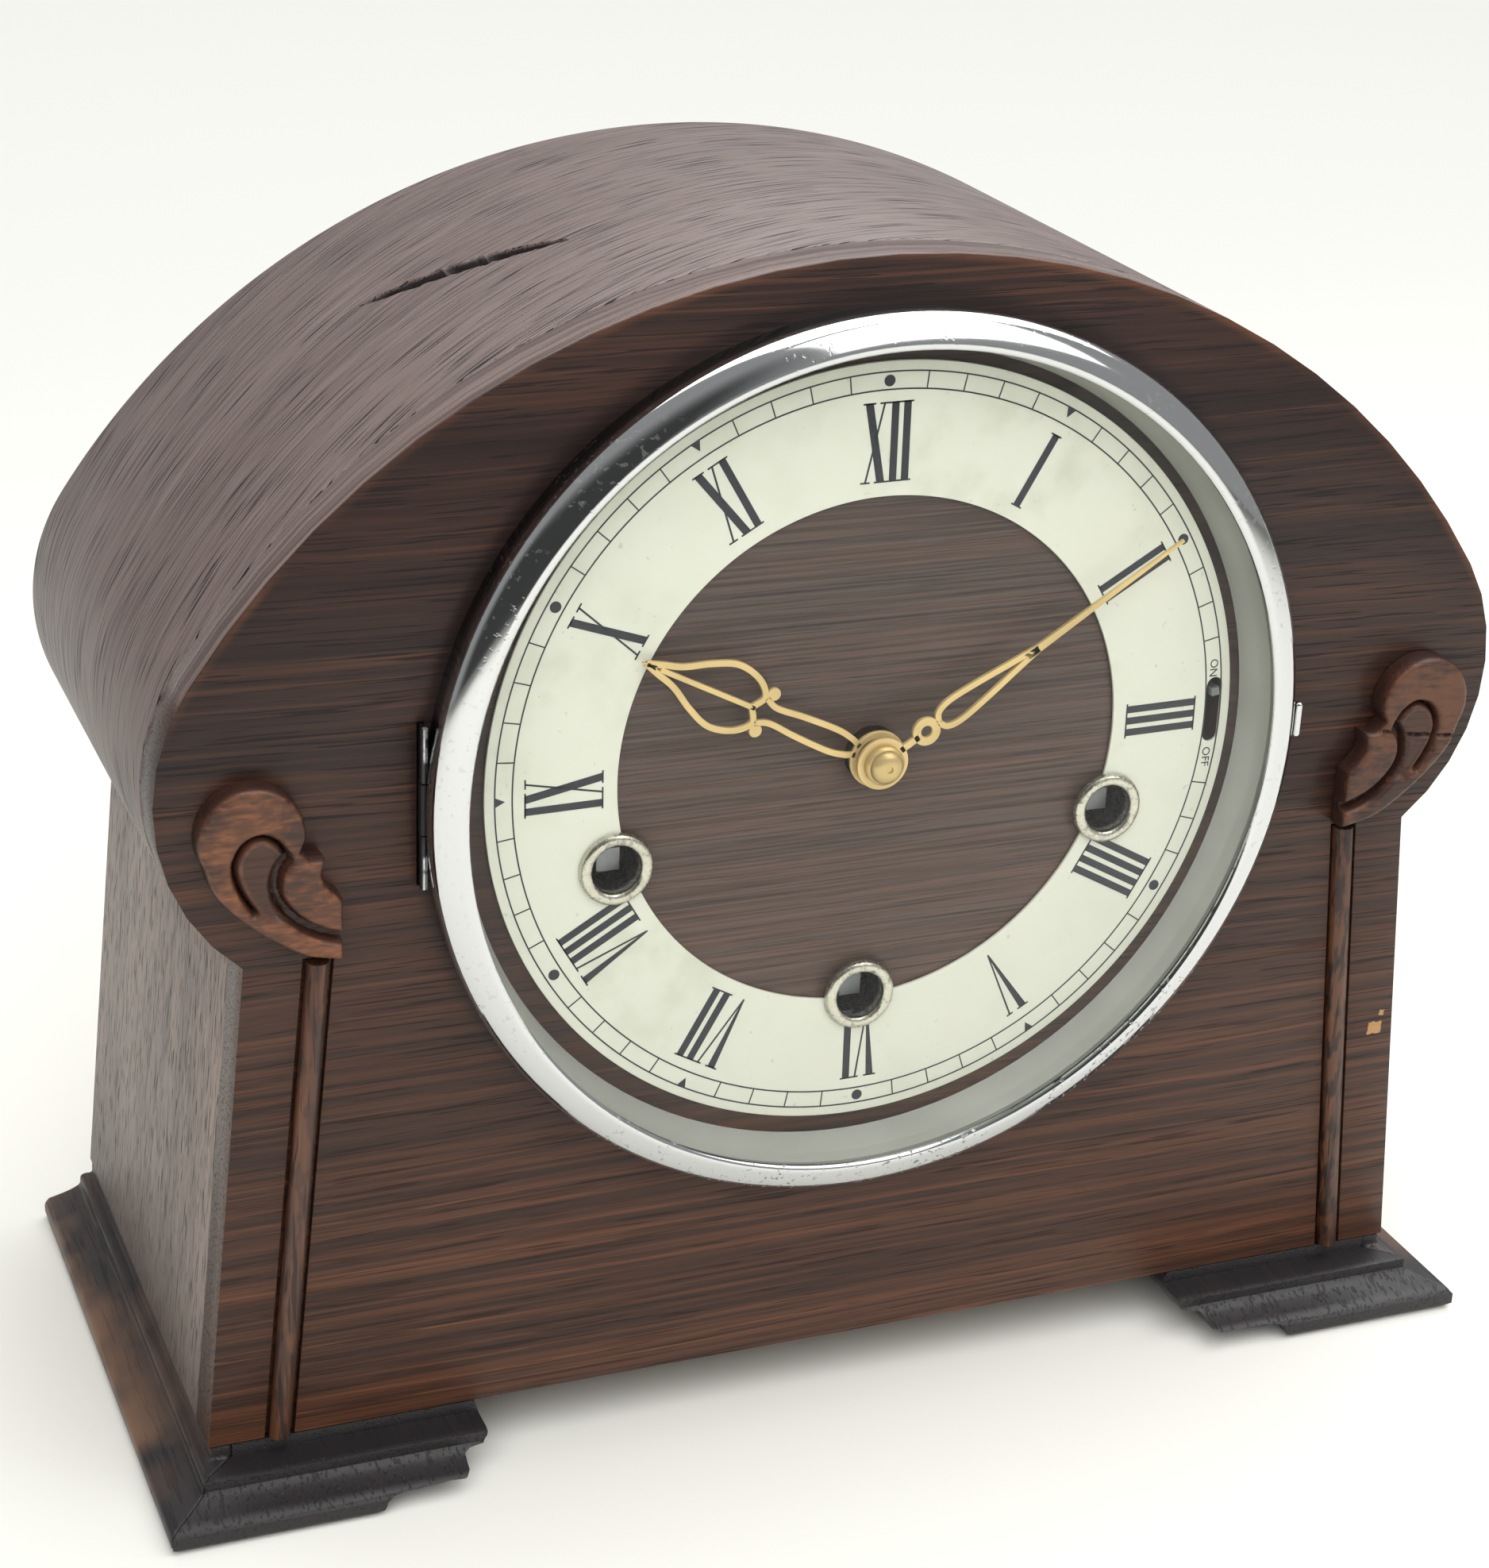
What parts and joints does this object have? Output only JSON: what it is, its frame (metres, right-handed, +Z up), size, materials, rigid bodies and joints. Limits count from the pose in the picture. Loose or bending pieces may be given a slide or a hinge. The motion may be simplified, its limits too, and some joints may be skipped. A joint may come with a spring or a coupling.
{
  "type": "mantel clock",
  "caption": "Arched oak shelf clock on moulded brackets, with a hinged chrome bezel, pierced hands, winding holes, a back door and a spring movement that strikes and chimes.",
  "frame": {"origin": "middle of the bounding box in plan, at the shelf the clock stands on", "axes": "+X to the viewer's right along the case's width, +Y from the dial to the back, +Z up"},
  "size_m": [0.2694, 0.1256, 0.227],
  "materials": {
    "oak": "satin varnish, worn",
    "plinth_oak": "dark varnish, worn on the edges",
    "carved_oak": "satin varnish, worn",
    "plywood": "plain stained",
    "chrome": "polished plate, lightly pitted",
    "satin_metal": "matt",
    "silvered": "silvered, matt",
    "glass": "clear, convex",
    "gilt": "gilt",
    "brass": "brushed",
    "nickel": "nickel plated",
    "steel": "brushed",
    "iron": "as cast"
  },
  "bodies": {
    "case": {"front_panel": "oak", "arch_board": "oak", "side_panel_left": "oak", "side_panel_right": "oak", "base_board": "plywood", "back_frame": "plywood", "door_hinge_frame_leaf": "brass", "moulding_left": "plinth_oak", "moulding_right": "plinth_oak", "bracket_left": "plinth_oak", "bracket_right": "plinth_oak", "scroll_left": "carved_oak", "scroll_right": "carved_oak", "reed_left": "carved_oak", "reed_right": "carved_oak", "chapter_ring": "silvered", "ferrule_left": "nickel", "ferrule_right": "nickel", "ferrule_lower": "nickel", "bezel_hinge_plate": "chrome", "front_plate": "brass", "back_plate": "brass", "pillar_1": "steel", "pillar_2": "steel", "pillar_3": "steel", "pillar_4": "steel", "suspension_cock": "brass", "gong_rod_1": "steel", "gong_rod_2": "steel", "gong_block": "iron"},
    "bezel": {"bezel_ring": "chrome", "sight_ring": "satin_metal", "bezel_glass": "glass", "bezel_tab": "chrome"},
    "door": {"back_door": "plywood", "door_hinge_door_leaf": "brass"},
    "turn_button": {"door_turn_button": "brass"},
    "lever": {"chime_lever": "steel"},
    "minute": {"minute_hand": "gilt", "hand_nut": "brass", "cannon_pinion": "brass"},
    "hour": {"hour_hand": "gilt", "hour_wheel": "brass"},
    "motion": {"minute_wheel": "brass"},
    "centre": {"centre_wheel": "brass"},
    "third": {"third_wheel": "brass"},
    "escape": {"escape_wheel": "brass"},
    "intermediate": {"intermediate_wheel": "brass"},
    "going_barrel": {"barrel_lower": "brass"},
    "strike_barrel": {"barrel_left": "brass"},
    "chime_barrel": {"barrel_right": "brass"},
    "drum": {"chime_drum": "brass"},
    "arbor_left": {"winding_arbor_left": "steel"},
    "arbor_right": {"winding_arbor_right": "steel"},
    "arbor_lower": {"winding_arbor_lower": "steel"},
    "pendulum": {"pendulum_rod": "steel", "pendulum_bob": "brass"},
    "pallets": {"anchor": "steel"},
    "hammer_front": {"hammer_1": "steel"},
    "hammer_rear": {"hammer_2": "steel"}
  },
  "joints": [
    {"name": "bezel_hinge", "type": "hinge", "parent": "case", "child": "bezel", "pos_m": [-0.0847, -0.0504, 0.1351], "axis": [0, 0, -1], "range_deg": [0, 100]},
    {"name": "back_door_hinge", "type": "hinge", "parent": "case", "child": "door", "pos_m": [0.0745, 0.0592, 0.108], "axis": [0, 0, -1], "range_deg": [0, 105]},
    {"name": "turn_button_pivot", "type": "hinge", "parent": "case", "child": "turn_button", "pos_m": [-0.082, 0.0578, 0.108], "axis": [0, 1, 0], "range_deg": [0, 90]},
    {"name": "chime_lever_pivot", "type": "hinge", "parent": "case", "child": "lever", "pos_m": [0.04, -0.0282, 0.1363], "axis": [0, 1, 0], "range_deg": [0, 15.3]},
    {"name": "minute_hand_axis", "type": "hinge", "parent": "case", "child": "minute", "pos_m": [0, -0.0482, 0.1351], "axis": [0, 1, 0], "continuous": true},
    {"name": "hour_hand_axis", "type": "hinge", "parent": "case", "child": "hour", "pos_m": [0, -0.0482, 0.1351], "axis": [0, 1, 0], "continuous": true},
    {"name": "minute_wheel_axis", "type": "hinge", "parent": "case", "child": "motion", "pos_m": [-0.01061, -0.0302, 0.14571], "axis": [0, 1, 0], "continuous": true},
    {"name": "centre_wheel_axis", "type": "hinge", "parent": "case", "child": "centre", "pos_m": [0, -0.0182, 0.1351], "axis": [0, 1, 0], "continuous": true},
    {"name": "third_wheel_axis", "type": "hinge", "parent": "case", "child": "third", "pos_m": [-0.01618, -0.0182, 0.15442], "axis": [0, 1, 0], "continuous": true},
    {"name": "escape_wheel_axis", "type": "hinge", "parent": "case", "child": "escape", "pos_m": [0, -0.0082, 0.1611], "axis": [0, 1, 0], "continuous": true},
    {"name": "intermediate_wheel_axis", "type": "hinge", "parent": "case", "child": "intermediate", "pos_m": [0.01733, 0.0098, 0.11311], "axis": [0, 1, 0], "continuous": true},
    {"name": "going_barrel_axis", "type": "hinge", "parent": "case", "child": "going_barrel", "pos_m": [0, -0.0082, 0.0868], "axis": [0, 1, 0], "continuous": true},
    {"name": "strike_barrel_axis", "type": "hinge", "parent": "case", "child": "strike_barrel", "pos_m": [-0.049, -0.0082, 0.1188], "axis": [0, 1, 0], "continuous": true},
    {"name": "chime_barrel_axis", "type": "hinge", "parent": "case", "child": "chime_barrel", "pos_m": [0.049, -0.0082, 0.1188], "axis": [0, 1, 0], "continuous": true},
    {"name": "chime_drum_axis", "type": "hinge", "parent": "case", "child": "drum", "pos_m": [0.06175, -0.0082, 0.07957], "axis": [0, 1, 0], "continuous": true},
    {"name": "winding_left", "type": "hinge", "parent": "case", "child": "arbor_left", "pos_m": [-0.049, -0.0362, 0.1188], "axis": [0, 1, 0], "range_deg": [0, 1920]},
    {"name": "winding_right", "type": "hinge", "parent": "case", "child": "arbor_right", "pos_m": [0.049, -0.0362, 0.1188], "axis": [0, 1, 0], "range_deg": [0, 1920]},
    {"name": "winding_lower", "type": "hinge", "parent": "case", "child": "arbor_lower", "pos_m": [0, -0.0362, 0.0868], "axis": [0, 1, 0], "range_deg": [0, 1920]},
    {"name": "pendulum_swing", "type": "hinge", "parent": "case", "child": "pendulum", "pos_m": [0, 0.0278, 0.1761], "axis": [0, 1, 0], "range_deg": [-5, 5]},
    {"name": "anchor_rock", "type": "hinge", "parent": "case", "child": "pallets", "pos_m": [0, -0.0032, 0.1761], "axis": [0, 1, 0], "range_deg": [-5, 5]},
    {"name": "hammer_front_pivot", "type": "hinge", "parent": "case", "child": "hammer_front", "pos_m": [0.042, -0.0122, 0.0561], "axis": [0, 1, 0], "range_deg": [0, 20]},
    {"name": "hammer_rear_pivot", "type": "hinge", "parent": "case", "child": "hammer_rear", "pos_m": [0.042, -0.0002, 0.0561], "axis": [0, 1, 0], "range_deg": [0, 20]}
  ],
  "couplings": [
    {"joint": "hour_hand_axis", "follows": "minute_hand_axis", "ratio": 0.083333},
    {"joint": "minute_wheel_axis", "follows": "minute_hand_axis", "ratio": -0.33333},
    {"joint": "third_wheel_axis", "follows": "centre_wheel_axis", "ratio": -6},
    {"joint": "escape_wheel_axis", "follows": "centre_wheel_axis", "ratio": 36},
    {"joint": "intermediate_wheel_axis", "follows": "centre_wheel_axis", "ratio": -0.16667},
    {"joint": "going_barrel_axis", "follows": "centre_wheel_axis", "ratio": 0.027778},
    {"joint": "chime_drum_axis", "follows": "chime_barrel_axis", "ratio": -1.2},
    {"joint": "anchor_rock", "follows": "pendulum_swing", "ratio": 1}
  ]
}
